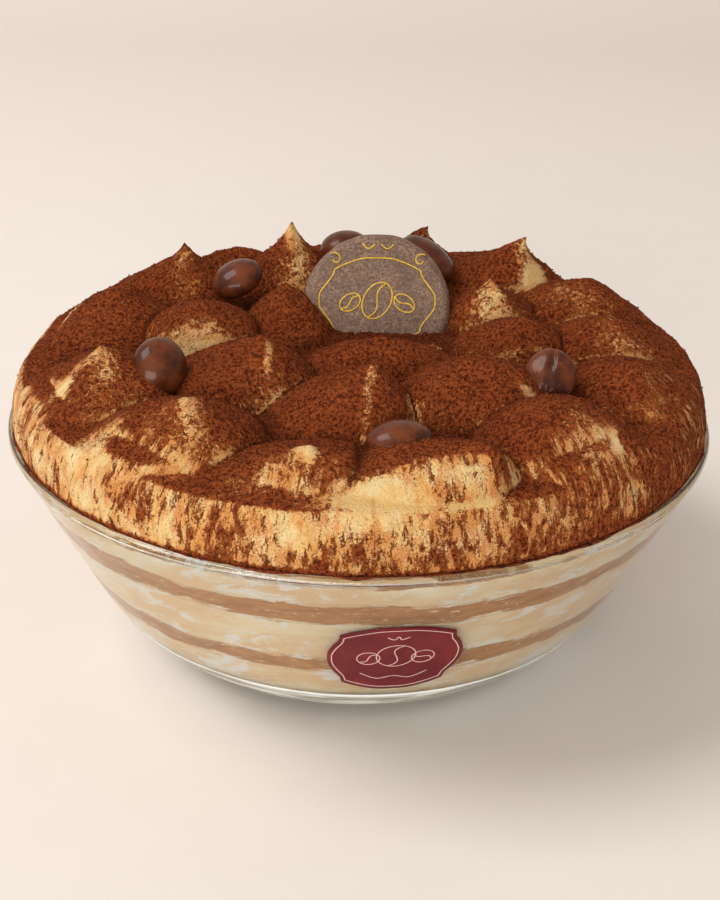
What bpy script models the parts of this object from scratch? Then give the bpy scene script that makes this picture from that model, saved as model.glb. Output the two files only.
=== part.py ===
"""Tiramisu in a clear glass bowl, built as closed solids.

A conical glass bowl holds two coffee-soaked sponge layers between three creams. The top cream
heaps above the rim in spooned dollops, set with six chocolate coffee beans and a chocolate disc,
and a thin label lies on the front of the glass. Sizes are in millimetres and are turned into
metres when a mesh is made. The origin is the middle of the foot, +Z is up and the front faces -Y.
"""
import math

import bmesh
import bpy
import numpy as np
from mathutils import Matrix, Vector

MM = 0.001
GAP = 0.3                     # air kept between neighbouring solids

# Bowl: a flat foot, a round turn and a straight flared wall.
RIM_RADIUS = 90.0
BOWL_HEIGHT = 62.0
FOOT_RADIUS = 34.0
TURN_RADIUS = 42.0
WALL = 2.6
FLOOR = 9.0
LIP_Z = BOWL_HEIGHT - 0.5 * WALL      # the rounded lip starts here
BOWL_SEGMENTS = 64
TURN_STEPS = 5

# Levels of the layers, from the glass floor up.
SPONGE_LOWER_Z = (26.5, 32.5)
SPONGE_UPPER_Z = (45.5, 51.5)
LAYER_SEGMENTS = 48

# Top cream: the heap above the rim.
PLATEAU_Z = 75.5
PLATEAU_CROWN = 0.5
PLATEAU_RADIUS = 80.0
PLATEAU_TILT = -0.012         # the heap stands a little higher at the front
HEAP_RADIUS = 88.6
SHOULDER_RADIUS = 74.0
SHOULDER_Z = 79.5
SIDE_POWER = 3.5
# Where the shoulder stands higher: x, y, spread, rise.
SHOULDER_RISES = ((20, -78, 20, 4.5), (-62, -58, 18, 1.0), (56, -62, 16, 1.5), (-84, 10, 20, -1.5))
OUTER_DOLLOP_CLIMB = 0.9
SHOULDER_BLEND = 2.2
CREASE_BLEND = 0.5
TIP_SPREAD = 3.8
RIDGE_HEIGHT = 1.2
RIDGE_SPREAD = 1.5
HEAP_SEGMENTS = 92
HEAP_RINGS = 21
SIDE_RINGS = 6

# Each dollop: middle x, y; half sizes along and across; turn in degrees; height; how round it
# is, from 1, a cone, to 2.4, a dome; top x, y; rise of the top's point; lean x, y of the point;
# end x, y of the ridge below the top.
DOLLOPS = (
    (-62, -27, 20, 19, 0, 10.5, 1.5, -61, -28, 1.4, -1, 0, -71, -38),
    (-41, -52, 21, 19, 0, 11.0, 1.5, -39, -57, 1.4, 0, 0, -35, -67),
    (-12, -66, 22, 14, 5, 6.0, 1.6, -11, -71, 1.0, 1, 0, -24, -73),
    (13, -67, 23, 15, 0, 9.0, 1.6, 27, -74, 3.0, 4, 0, 4, -76),
    (46, -52, 21, 20, 0, 12.0, 1.8, 44, -55, 0.8, 0, 0, 58, -57),
    (66, -21, 19, 19, 0, 9.0, 2.0, 64, -28, 1.0, 0, 0, 74, -30),
    (64, 5, 19, 19, 0, 9.5, 1.8, 61, 1, 0.8, 0, 0, 71, 4),
    (58, 32, 21, 19, 0, 9.5, 1.8, 60, 30, 1.0, 0, 0, 68, 36),
    (38, 54, 22, 19, 8, 13.0, 1.3, 43, 47, 3.5, 3, 0, 48, 36),
    (16, 65, 15, 14, 0, 11.5, 1.4, 16, 60, 3.0, 3, 0, 9, 62),
    (-21, 53, 18, 18, 0, 14.0, 1.1, -20, 50, 4.5, 0, 0, -17, 36),
    (-52, 46, 20, 19, 0, 11.5, 1.2, -49, 41, 3.0, 0, 0, -56, 31),
    (-66, 15, 19, 21, 0, 9.5, 1.6, -65, 16, 1.5, 0, 0, -72, 8),
    (-41, 8, 18, 16, 0, 11.0, 2.1, -41, 3, 0.6, 0, 0, -35, -6),
    (-30, -20, 20, 20, 0, 10.5, 1.8, -24, -22, 2.2, 0, 0, -18, -37),
    (-4, -39, 19, 19, 0, 11.0, 1.7, 3, -38, 1.4, 0, 0, 0, -56),
    (40, 3, 17, 16, 0, 10.0, 1.9, 40, -3, 0.6, 0, 0, 48, -2),
    (28, -30, 22, 19, 15, 11.5, 1.9, 28, -32, 0.8, 0, 0, 12, -42),
    (35, 25, 16, 15, 0, 10.5, 1.5, 34, 20, 2.5, 0, 0, 43, 14),
    (-20, 15, 13, 17, 0, 10.0, 1.8, -20, 19, 0.6, 0, 0, -18, 6),
    (6, -9, 22, 14, 0, 7.4, 1.8, 5, -12, 0.5, 0, 0, 16, -12),
    (-37, 65, 16, 13, 0, 6.0, 1.8, -37, 63, 0.5, 0, 0, -28, 66),
    (4, 54, 14, 12, 0, 11.5, 1.6, 5, 54, 1.5, 0, 0, -4, 54),
    (-8, 72, 17, 11, 0, 5.5, 1.8, -8, 70, 0.5, 0, 0, 2, 72),
    (36, 72, 18, 11, 0, 4.5, 1.8, 36, 70, 0.5, 0, 0, 44, 70),
)

BEAN_FLATNESS = 0.62          # how far the creased side bulges, against the round side
BEAN_CREASE_DEPTH = 0.9
BEAN_CREASE_WIDTH = 1.3
BEAN_SEGMENTS = 12
BEAN_RINGS = 7
# Each bean: name; length, width, thickness; middle x, y, z; azimuth and rise of its length,
# and roll about it, in degrees. At no roll its round side is up, at 180 its crease.
BEANS = (
    ("bean_left", (15.0, 13.4, 10.0), -48.0, -27.5, 82.6, 98, 56, 14),
    ("bean_right", (14.4, 12.6, 9.4), 45.3, -30.0, 83.0, 82, 56, 176),
    ("bean_front", (15.2, 11.4, 8.6), 9.2, -60.0, 80.3, 3, 4, 6),
    ("bean_back_left", (14.6, 12.2, 9.4), -34.0, 33.0, 82.8, 14, 24, 20),
    ("bean_back_middle", (14.0, 12.2, 9.4), -5.0, 57.0, 84.3, 4, 6, 0),
    ("bean_back_right", (18.5, 12.2, 9.0), 18.5, 46.0, 85.3, -40, -24, -20),
)

# Chocolate disc, leaning back on the cream.
DISC_RADIUS = 19.6
DISC_THICKNESS = 5.4
DISC_EDGE = 2.2               # rounding of the disc's edge
DISC_CENTRE = (4.2, 20.0, 80.6)
DISC_RECLINE = 60.0           # angle of the face from level, in degrees
DISC_SEGMENTS = 32
DISC_EDGE_STEPS = 3

# Label on the front of the glass.
LABEL_WIDTH = 31.0
LABEL_HEIGHT = 27.0
LABEL_THICKNESS = 0.3
LABEL_MIDDLE_Z = 33.3
LABEL_TURN = 7.0              # degrees round the bowl from the front, towards +X
LABEL_COLUMNS = 16
LABEL_ROWS = 5
LABEL_CORNER = (0.78, 0.78)   # corner of the plaque, as parts of its half width and half height
LABEL_WAIST = (0.86, 0.44)    # where the hollow side turns into the pointed end


def make_material(name, color, roughness, metallic=0.0, transmission=0.0):
    """Return a Principled material of one plain colour."""
    material = bpy.data.materials.new(name)
    material.use_nodes = True
    shader = material.node_tree.nodes["Principled BSDF"]
    shader.inputs["Base Color"].default_value = (*color, 1.0)
    shader.inputs["Roughness"].default_value = roughness
    shader.inputs["Metallic"].default_value = metallic
    shader.inputs["Transmission Weight"].default_value = transmission
    return material


def add_object(name, points, faces, material):
    """Make a smooth-shaded object from points in millimetres, with its faces turned out."""
    mesh = bpy.data.meshes.new(name)
    mesh.from_pydata([tuple(float(c) * MM for c in point) for point in points], [], faces)
    work = bmesh.new()
    work.from_mesh(mesh)
    bmesh.ops.recalc_face_normals(work, faces=work.faces)
    work.to_mesh(mesh)
    work.free()
    mesh.materials.append(material)
    mesh.shade_smooth()
    mesh.set_sharp_from_angle(angle=math.radians(40))
    thing = bpy.data.objects.new(name, mesh)
    bpy.context.scene.collection.objects.link(thing)
    return thing


def ring_faces(first, second, count):
    """Quads between two rings of points that start at the given indices."""
    return [(first + i, first + (i + 1) % count, second + (i + 1) % count, second + i)
            for i in range(count)]


def turn_profile(profile, segments):
    """Points and faces of a solid turned from (radius, z) pairs; a zero radius is one pole."""
    points = []
    starts = []
    for radius, z in profile:
        starts.append(len(points))
        if radius == 0.0:
            points.append((0.0, 0.0, z))
            continue
        for i in range(segments):
            angle = 2.0 * math.pi * i / segments
            points.append((radius * math.cos(angle), radius * math.sin(angle), z))
    faces = []
    for index in range(len(profile) - 1):
        lower, upper = starts[index], starts[index + 1]
        if profile[index][0] == 0.0:
            faces += [(lower, upper + i, upper + (i + 1) % segments) for i in range(segments)]
        elif profile[index + 1][0] == 0.0:
            faces += [(lower + i, lower + (i + 1) % segments, upper) for i in range(segments)]
        else:
            faces += ring_faces(lower, upper, segments)
    return points, faces


# ---------------------------------------------------------------- bowl

def wall_slope():
    """Angle of the straight wall from level, where it leaves the round turn without a kink."""
    across = RIM_RADIUS - FOOT_RADIUS
    up = LIP_Z - TURN_RADIUS
    return math.atan2(up, across) + math.asin(TURN_RADIUS / math.hypot(across, up))


def glass_radius(z, inset=0.0):
    """Radius of the glass's outer face at a height, or of a face that lies inset within it."""
    slope = wall_slope()
    radius = TURN_RADIUS - inset
    turn_end_z = TURN_RADIUS - radius * math.cos(slope)
    if z <= turn_end_z:
        drop = TURN_RADIUS - z
        return FOOT_RADIUS + math.sqrt(max(0.0, radius * radius - drop * drop))
    turn_end = FOOT_RADIUS + radius * math.sin(slope)
    return turn_end + (z - turn_end_z) / math.tan(slope)


def turn_points(inset, lowest, steps):
    """(radius, z) pairs round the turn of the glass, from a lowest level to the straight wall."""
    radius = TURN_RADIUS - inset
    start = math.acos((TURN_RADIUS - lowest) / radius)
    angles = [start + (wall_slope() - start) * i / steps for i in range(steps + 1)]
    return [(FOOT_RADIUS + radius * math.sin(a), TURN_RADIUS - radius * math.cos(a)) for a in angles]


def make_bowl(material):
    outer = turn_points(0.0, 0.0, TURN_STEPS)
    inner = turn_points(WALL, FLOOR, TURN_STEPS)
    half = 0.5 * WALL / math.sin(wall_slope())
    lip = [(RIM_RADIUS - half + half * math.cos(math.radians(a)),
            LIP_Z + 0.5 * WALL * math.sin(math.radians(a))) for a in (0, 45, 90, 135, 180)]
    profile = [(0.0, 0.0)] + outer + lip + inner[::-1] + [(0.0, FLOOR)]
    return add_object("bowl", *turn_profile(profile, BOWL_SEGMENTS), material)


# ---------------------------------------------------------------- layers

def layer_profile(bottom, top):
    """A disc of food that lies against the glass between two heights."""
    inset = WALL + GAP
    rows = 4 if bottom < TURN_RADIUS * 0.5 else 1
    heights = [bottom + (top - bottom) * (i / rows) ** 2 for i in range(rows + 1)]
    side = [(glass_radius(z, inset), z) for z in heights]
    return [(0.0, bottom)] + side + [(0.0, top)]


def make_layer(name, bottom, top, material):
    profile = layer_profile(bottom + 0.5 * GAP, top - 0.5 * GAP)
    return add_object(name, *turn_profile(profile, LAYER_SEGMENTS), material)


# ---------------------------------------------------------------- top cream

def smooth_max(a, b, blend):
    """The larger of two heights, with the corner between them rounded."""
    return 0.5 * (a + b + np.sqrt((a - b) ** 2 + blend * blend))


def dollop_height(dollop, x, y):
    """Height of one dollop above the plateau, and how much its leaning point adds."""
    cx, cy, along, across, turn, height, roundness, top_x, top_y, rise, _, _, end_x, end_y = dollop
    angle = math.radians(turn)
    cos, sin = math.cos(angle), math.sin(angle)
    off_u = ((top_x - cx) * cos + (top_y - cy) * sin) / along
    off_v = ((top_y - cy) * cos - (top_x - cx) * sin) / across
    u = ((x - top_x) * cos + (y - top_y) * sin) / along
    v = ((y - top_y) * cos - (x - top_x) * sin) / across
    dot = u * off_u + v * off_v
    spare = 1.0 - off_u * off_u - off_v * off_v
    reach = (dot + np.sqrt(dot * dot + spare * (u * u + v * v))) / spare
    body = height * (1.0 - np.clip(reach, 0.0, 3.0) ** roundness)
    tip = np.exp(-np.hypot(x - top_x, y - top_y) / TIP_SPREAD)
    run_x, run_y = end_x - top_x, end_y - top_y
    run = run_x * run_x + run_y * run_y
    part = np.clip(((x - top_x) * run_x + (y - top_y) * run_y) / run, 0.0, 1.0)
    off = np.hypot(x - top_x - part * run_x, y - top_y - part * run_y)
    ridge = RIDGE_HEIGHT * np.exp(-off / RIDGE_SPREAD) * (1.0 - part * part)
    return body + rise * tip + ridge, tip


def heap_surface(x, y):
    """Points of the top cream's upper surface above the plan positions x, y."""
    radius = np.hypot(x, y)
    level = PLATEAU_Z + PLATEAU_CROWN * (1.0 - (radius / PLATEAU_RADIUS) ** 2) + PLATEAU_TILT * y
    top = np.zeros_like(x)
    shift_x = np.zeros_like(x)
    shift_y = np.zeros_like(x)
    for dollop in DOLLOPS:
        height, tip = dollop_height(dollop, x, y)
        top = smooth_max(top, height, CREASE_BLEND)
        shift_x = shift_x + dollop[10] * tip * tip
        shift_y = shift_y + dollop[11] * tip * tip
    turned = np.clip((radius - SHOULDER_RADIUS) / (HEAP_RADIUS - SHOULDER_RADIUS), 0.0, 1.0)
    shoulder = SHOULDER_Z - BOWL_HEIGHT
    for rise_x, rise_y, spread, rise in SHOULDER_RISES:
        shoulder = shoulder + rise * np.exp(-((x - rise_x) ** 2 + (y - rise_y) ** 2) / spread ** 2)
    side = BOWL_HEIGHT + shoulder * np.sqrt(1.0 - turned ** SIDE_POWER)
    side = side + OUTER_DOLLOP_CLIMB * np.clip(PLATEAU_RADIUS - radius, 0.0, None)
    z = -smooth_max(-(level + top), -side, SHOULDER_BLEND)
    return x + shift_x, y + shift_y, np.maximum(z, BOWL_HEIGHT + GAP)


def heap_radii():
    """Radii of the heap's rings, closer together down its steep side."""
    inner = [PLATEAU_RADIUS * (i + 1) / (HEAP_RINGS - SIDE_RINGS) for i in range(HEAP_RINGS - SIDE_RINGS)]
    steps = [(i + 1) / SIDE_RINGS for i in range(SIDE_RINGS)]
    return inner + [PLATEAU_RADIUS + (HEAP_RADIUS - PLATEAU_RADIUS) * math.sin(0.5 * math.pi * s)
                    for s in steps]


def make_heap(bottom, material):
    """The top cream: spooned dollops above, a slab inside the glass below."""
    angles = 2.0 * math.pi * np.arange(HEAP_SEGMENTS) / HEAP_SEGMENTS
    apex = heap_surface(np.array([0.0]), np.array([0.0]))
    points = [tuple(float(axis[0]) for axis in apex)]
    for radius in heap_radii():
        x, y, z = heap_surface(radius * np.cos(angles), radius * np.sin(angles))
        points += list(zip(x, y, z))
    inset = WALL + GAP
    lip_z = BOWL_HEIGHT - WALL
    neck = glass_radius(lip_z, inset)
    for radius, z in ((neck, BOWL_HEIGHT), (neck, lip_z), (glass_radius(bottom, inset), bottom)):
        points += [(radius * math.cos(a), radius * math.sin(a), z) for a in angles]
    points.append((0.0, 0.0, bottom))
    rings = HEAP_RINGS + 3
    starts = [1 + HEAP_SEGMENTS * i for i in range(rings)]
    faces = [(0, 1 + i, 1 + (i + 1) % HEAP_SEGMENTS) for i in range(HEAP_SEGMENTS)]
    for lower, upper in zip(starts, starts[1:]):
        faces += ring_faces(lower, upper, HEAP_SEGMENTS)
    last = len(points) - 1
    faces += [(starts[-1] + i, last, starts[-1] + (i + 1) % HEAP_SEGMENTS) for i in range(HEAP_SEGMENTS)]
    return add_object("cream_top", points, faces, material)


# ---------------------------------------------------------------- beans and disc

def bean_shape(size, grow=0.0):
    """A bean lying level: length along X, its creased side down, its round side up."""
    half = [0.5 * part + grow for part in size]
    points = [(half[0], 0.0, 0.0)]
    for ring in range(1, BEAN_RINGS):
        polar = math.pi * ring / BEAN_RINGS
        for step in range(BEAN_SEGMENTS):
            angle = 2.0 * math.pi * step / BEAN_SEGMENTS
            x = half[0] * math.cos(polar)
            y = half[1] * math.sin(polar) * math.cos(angle)
            z = half[2] * math.sin(polar) * math.sin(angle)
            if z < 0.0:
                crease = BEAN_CREASE_DEPTH * math.exp(-((y / BEAN_CREASE_WIDTH) ** 2))
                z = BEAN_FLATNESS * z + (0.0 if grow else crease * math.sin(polar))
            points.append((x, y, z))
    points.append((-half[0], 0.0, 0.0))
    last = len(points) - 1
    starts = [1 + BEAN_SEGMENTS * i for i in range(BEAN_RINGS - 1)]
    faces = [(0, 1 + i, 1 + (i + 1) % BEAN_SEGMENTS) for i in range(BEAN_SEGMENTS)]
    for lower, upper in zip(starts, starts[1:]):
        faces += ring_faces(lower, upper, BEAN_SEGMENTS)
    faces += [(starts[-1] + i, last, starts[-1] + (i + 1) % BEAN_SEGMENTS) for i in range(BEAN_SEGMENTS)]
    return points, faces


def bean_placement(x, y, z, azimuth, rise, roll):
    """A bean's length points to the azimuth and rises; the roll turns it about its length."""
    turns = (Matrix.Rotation(math.radians(azimuth), 4, "Z")
             @ Matrix.Rotation(math.radians(-rise), 4, "Y")
             @ Matrix.Rotation(math.radians(roll), 4, "X"))
    return Matrix.Translation((x, y, z)) @ turns


def disc_profile(grow=0.0):
    """(radius, z) pairs of the disc lying level, its edge rounded above and below."""
    half = 0.5 * DISC_THICKNESS + grow
    radius = DISC_RADIUS + grow
    steps = [0.5 * math.pi * i / DISC_EDGE_STEPS for i in range(DISC_EDGE_STEPS + 1)]
    lower = [(radius - DISC_EDGE * (1.0 - math.sin(a)), -half + DISC_EDGE * (1.0 - math.cos(a)))
             for a in steps]
    upper = [(r, -z) for r, z in reversed(lower)]
    return [(0.0, -half)] + lower + upper + [(0.0, half)]


def disc_placement():
    """The disc's face looks up and towards the front."""
    return Matrix.Translation(DISC_CENTRE) @ Matrix.Rotation(math.radians(DISC_RECLINE), 4, "X")


def placed(points, placement):
    return [placement @ Vector(point) for point in points]


def add_socket(heap, name, points, faces, material):
    """Cut the shape out of the heap with a guide object that isn't part of the model."""
    cutter = add_object(name, points, faces, material)
    cutter.hide_render = True
    cutter.display_type = "WIRE"
    cut = heap.modifiers.new(name, "BOOLEAN")
    cut.operation = "DIFFERENCE"
    cut.solver = "EXACT"
    cut.object = cutter


def make_beans(heap, material):
    for name, size, *where in BEANS:
        points, faces = bean_shape(size)
        clear_points, clear_faces = bean_shape(size, grow=GAP + 0.15)
        placement = bean_placement(*where)
        add_object(name, placed(points, placement), faces, material)
        add_socket(heap, "socket_" + name, placed(clear_points, placement), clear_faces, material)


def make_disc(heap, material):
    points, faces = turn_profile(disc_profile(), DISC_SEGMENTS)
    add_object("chocolate_disc", placed(points, disc_placement()), faces, material)
    points, faces = turn_profile(disc_profile(grow=GAP), DISC_SEGMENTS)
    add_socket(heap, "socket_disc", placed(points, disc_placement()), faces, material)


# ---------------------------------------------------------------- label

def label_half_height(part):
    """Half height of the plaque at a part of its half width, as a part of its own half height."""
    part = abs(part)
    corner, corner_height = LABEL_CORNER
    waist, waist_height = LABEL_WAIST
    if part <= corner:
        return corner_height + (1.0 - corner_height) * math.cos(0.5 * math.pi * part / corner)
    if part <= waist:
        return corner_height + (waist_height - corner_height) * (part - corner) / (waist - corner)
    return 0.03 + (waist_height - 0.03) * math.cos(0.5 * math.pi * (part - waist) / (1.0 - waist))


def label_columns():
    """Places across the label, from -1 to 1, with a pair at each corner and waist."""
    even = [-1.0 + 2.0 * i / LABEL_COLUMNS for i in range(LABEL_COLUMNS + 1)]
    marks = (LABEL_CORNER[0], LABEL_WAIST[0])
    return sorted(set(even) | set(marks) | {-mark for mark in marks})


def glass_point(across, up, lift):
    """A point on the outer face of the straight wall: across and up the label, lifted off it."""
    slope = wall_slope()
    z = LABEL_MIDDLE_Z + up * math.sin(slope)
    middle_radius = glass_radius(LABEL_MIDDLE_Z)
    angle = math.radians(LABEL_TURN - 90.0) + across / middle_radius
    radius = glass_radius(z) + lift * math.sin(slope)
    return radius * math.cos(angle), radius * math.sin(angle), z - lift * math.cos(slope)


def make_label(material):
    columns = label_columns()
    points = []
    for lift in (GAP, GAP + LABEL_THICKNESS):
        for part in columns:
            reach = 0.5 * LABEL_HEIGHT * label_half_height(part)
            for row in range(LABEL_ROWS + 1):
                up = reach * (2.0 * row / LABEL_ROWS - 1.0)
                points.append(glass_point(0.5 * LABEL_WIDTH * part, up, lift))
    rows = LABEL_ROWS + 1
    side = len(columns) * rows
    faces = []
    for column in range(len(columns) - 1):
        for row in range(LABEL_ROWS):
            a = column * rows + row
            faces.append((a, a + 1, a + rows + 1, a + rows))
            faces.append((side + a, side + a + rows, side + a + rows + 1, side + a + 1))
    edge = [row for row in range(rows)]
    edge += [column * rows + LABEL_ROWS for column in range(1, len(columns))]
    edge += [(len(columns) - 1) * rows + row for row in reversed(range(LABEL_ROWS))]
    edge += [column * rows for column in reversed(range(1, len(columns) - 1))]
    for a, b in zip(edge, edge[1:] + edge[:1]):
        faces.append((a, b, side + b, side + a))
    return add_object("label", points, faces, material)


def clear_scene():
    for thing in list(bpy.data.objects):
        bpy.data.objects.remove(thing)


def main():
    clear_scene()
    glass = make_material("clear_glass", (0.92, 0.95, 0.94), 0.05, transmission=1.0)
    cream = make_material("cream", (0.86, 0.74, 0.55), 0.6)
    sponge = make_material("coffee_sponge", (0.52, 0.32, 0.16), 0.75)
    cocoa = make_material("cocoa_cream", (0.24, 0.10, 0.05), 0.9)
    chocolate = make_material("dark_chocolate", (0.09, 0.045, 0.03), 0.35)
    disc_chocolate = make_material("disc_chocolate", (0.12, 0.08, 0.07), 0.55)
    red = make_material("label_red", (0.26, 0.03, 0.04), 0.3)

    make_bowl(glass)
    make_layer("cream_bottom", FLOOR + 0.5 * GAP, SPONGE_LOWER_Z[0], cream)
    make_layer("sponge_lower", *SPONGE_LOWER_Z, sponge)
    make_layer("cream_middle", SPONGE_LOWER_Z[1], SPONGE_UPPER_Z[0], cream)
    make_layer("sponge_upper", *SPONGE_UPPER_Z, sponge)
    heap = make_heap(SPONGE_UPPER_Z[1] + 0.5 * GAP, cocoa)
    make_beans(heap, chocolate)
    make_disc(heap, disc_chocolate)
    make_label(red)


main()
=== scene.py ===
"""Looks of the tiramisu in its glass bowl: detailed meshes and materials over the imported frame.

Shapes are worked out in millimetres, with +Z up and the front at -Y, and are turned into metres
when a mesh is made.
"""
import math

import bmesh
import bpy
import numpy as np
from mathutils import Matrix, Vector


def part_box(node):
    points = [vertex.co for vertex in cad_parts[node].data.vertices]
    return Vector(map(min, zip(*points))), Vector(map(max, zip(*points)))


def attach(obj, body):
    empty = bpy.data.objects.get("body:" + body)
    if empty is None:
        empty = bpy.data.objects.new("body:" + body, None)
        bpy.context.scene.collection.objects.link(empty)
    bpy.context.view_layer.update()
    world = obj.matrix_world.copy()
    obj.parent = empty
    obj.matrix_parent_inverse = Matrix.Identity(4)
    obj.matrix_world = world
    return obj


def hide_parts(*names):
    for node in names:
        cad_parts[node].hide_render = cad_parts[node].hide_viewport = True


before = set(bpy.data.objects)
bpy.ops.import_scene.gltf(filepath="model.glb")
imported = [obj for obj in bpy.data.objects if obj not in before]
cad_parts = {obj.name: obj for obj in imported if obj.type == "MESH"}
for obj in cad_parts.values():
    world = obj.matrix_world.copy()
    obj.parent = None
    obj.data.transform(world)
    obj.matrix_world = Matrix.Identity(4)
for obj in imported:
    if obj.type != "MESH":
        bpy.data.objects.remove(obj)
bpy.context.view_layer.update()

MM = 0.001
ROOT = "root"

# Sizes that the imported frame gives.
bowl_low, bowl_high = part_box("bowl")
RIM_RADIUS = bowl_high[0] / MM
BOWL_HEIGHT = bowl_high[2] / MM

# Sizes of the bowl's section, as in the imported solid.
FOOT_RADIUS = 34.0
TURN_RADIUS = 42.0
WALL = 2.6
FLOOR = 9.0
FOOT_PROUD = 0.05             # how far the foot's pale shell stands out of the glass
FOOT_BITE = 0.2               # and how far it reaches into it
FOOT_BAND = (26.0, 54.0)      # turns of the glass, in degrees, between which the foot looks pale
GAP = 0.3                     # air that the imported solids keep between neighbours
LIP_Z = BOWL_HEIGHT - 0.5 * WALL
FOOD_BITE = 0.12              # how far the food reaches into the glass, so that no air shows

SPONGE_LOWER_Z = (26.5, 32.5)
SPONGE_UPPER_Z = (45.5, 51.5)

# Top cream.
PLATEAU_Z = 75.5
PLATEAU_CROWN = 0.5
PLATEAU_RADIUS = 80.0
PLATEAU_TILT = -0.012         # the heap stands a little higher at the front
HEAP_RADIUS = 88.6
SHOULDER_RADIUS = 74.0
SHOULDER_Z = 79.5
SIDE_POWER = 3.5
# Where the shoulder stands higher: x, y, spread, rise.
SHOULDER_RISES = ((20, -78, 20, 4.5), (-62, -58, 18, 1.0), (56, -62, 16, 1.5), (-84, 10, 20, -1.5))
OUTER_DOLLOP_CLIMB = 0.9
SHOULDER_BLEND = 2.2
CREASE_BLEND = 0.5
TIP_SPREAD = 3.8
RIDGE_HEIGHT = 1.2
RIDGE_SPREAD = 1.5

# Each dollop: middle x, y; half sizes along and across; turn in degrees; height; how round it
# is, from 1, a cone, to 2.4, a dome; top x, y; rise of the top's point; lean x, y of the point;
# end x, y of the ridge below the top.
DOLLOPS = (
    (-62, -27, 20, 19, 0, 10.5, 1.5, -61, -28, 1.4, -1, 0, -71, -38),
    (-41, -52, 21, 19, 0, 11.0, 1.5, -39, -57, 1.4, 0, 0, -35, -67),
    (-12, -66, 22, 14, 5, 6.0, 1.6, -11, -71, 1.0, 1, 0, -24, -73),
    (13, -67, 23, 15, 0, 9.0, 1.6, 27, -74, 3.0, 4, 0, 4, -76),
    (46, -52, 21, 20, 0, 12.0, 1.8, 44, -55, 0.8, 0, 0, 58, -57),
    (66, -21, 19, 19, 0, 9.0, 2.0, 64, -28, 1.0, 0, 0, 74, -30),
    (64, 5, 19, 19, 0, 9.5, 1.8, 61, 1, 0.8, 0, 0, 71, 4),
    (58, 32, 21, 19, 0, 9.5, 1.8, 60, 30, 1.0, 0, 0, 68, 36),
    (38, 54, 22, 19, 8, 13.0, 1.3, 43, 47, 3.5, 3, 0, 48, 36),
    (16, 65, 15, 14, 0, 11.5, 1.4, 16, 60, 3.0, 3, 0, 9, 62),
    (-21, 53, 18, 18, 0, 14.0, 1.1, -20, 50, 4.5, 0, 0, -17, 36),
    (-52, 46, 20, 19, 0, 11.5, 1.2, -49, 41, 3.0, 0, 0, -56, 31),
    (-66, 15, 19, 21, 0, 9.5, 1.6, -65, 16, 1.5, 0, 0, -72, 8),
    (-41, 8, 18, 16, 0, 11.0, 2.1, -41, 3, 0.6, 0, 0, -35, -6),
    (-30, -20, 20, 20, 0, 10.5, 1.8, -24, -22, 2.2, 0, 0, -18, -37),
    (-4, -39, 19, 19, 0, 11.0, 1.7, 3, -38, 1.4, 0, 0, 0, -56),
    (40, 3, 17, 16, 0, 10.0, 1.9, 40, -3, 0.6, 0, 0, 48, -2),
    (28, -30, 22, 19, 15, 11.5, 1.9, 28, -32, 0.8, 0, 0, 12, -42),
    (35, 25, 16, 15, 0, 10.5, 1.5, 34, 20, 2.5, 0, 0, 43, 14),
    (-20, 15, 13, 17, 0, 10.0, 1.8, -20, 19, 0.6, 0, 0, -18, 6),
    (6, -9, 22, 14, 0, 7.4, 1.8, 5, -12, 0.5, 0, 0, 16, -12),
    (-37, 65, 16, 13, 0, 6.0, 1.8, -37, 63, 0.5, 0, 0, -28, 66),
    (4, 54, 14, 12, 0, 11.5, 1.6, 5, 54, 1.5, 0, 0, -4, 54),
    (-8, 72, 17, 11, 0, 5.5, 1.8, -8, 70, 0.5, 0, 0, 2, 72),
    (36, 72, 18, 11, 0, 4.5, 1.8, 36, 70, 0.5, 0, 0, 44, 70),
)

# Places where cream shows through the cocoa: x, y; half sizes across and along; turn in degrees;
# how much cocoa is missing.
PATCHES = (
    (-61, -29, 4, 5, 0, 0.46), (-69, -33, 3, 9, -50, 0.5), (-58, -38, 12, 7, 0, 0.40),
    (-40, -60, 9, 8, 0, 0.40), (-38, -57, 2.5, 5, 0, 0.34), (-62, -60, 6, 12, -40, 0.8),
    (-36, -68, 13, 6, 15, 0.25),
    (-11, -71, 3, 3, 0, 0.7), (-22, -76, 8, 4, 10, 0.55), (-8, -73, 10, 4, 0, 0.35),
    (13, -81, 18, 6, 0, 1.0), (27, -78, 5, 4, 0, 0.8), (0, -82, 12, 5, 0, 0.6),
    (52, -60, 7, 8, 0, 0.46), (58, -59, 1.8, 5, 10, 0.8), (60, -66, 11, 7, 30, 0.36),
    (66, -6, 11, 9, 0, 0.40), (70, -28, 8, 9, 0, 0.32), (62, 14, 11, 9, 0, 0.40), (56, 26, 13, 7, 0, 0.34),
    (48, 41, 3.0, 8, -20, 0.8), (43, 47, 3, 3, 0, 0.5),
    (-17, 40, 5, 9, 0, 0.40), (-20, 50, 2.5, 4, 0, 0.35), (-40, -5, 11, 6, 0, 0.32),
    (-22, -25, 1.4, 6, 0, 0.7), (-24, -34, 9, 7, 0, 0.26), (2, -46, 1.8, 11, -8, 0.65),
    (34, 18, 4, 5, 0, 0.38), (42, 14, 9, 6, 0, 0.34), (5, 60, 5, 6, 0, 1.0),
    (39, -37, 3, 2, 0, 0.9), (16, 3, 6, 2, 0, 0.8), (20, -42, 10, 5, 0, 0.24), (-49, 34, 6, 6, 0, 0.36),
    (-2, -24, 7, 5, 0, 0.2), (-64, 8, 9, 7, 0, 0.22),
)

SIDE_COVER = 0.45             # cocoa on the steep side, at the left and the front
SIDE_COVER_RIGHT = 0.32
TOP_COVER_STEEP = 0.62        # cocoa on the dollops' steepest faces

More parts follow.
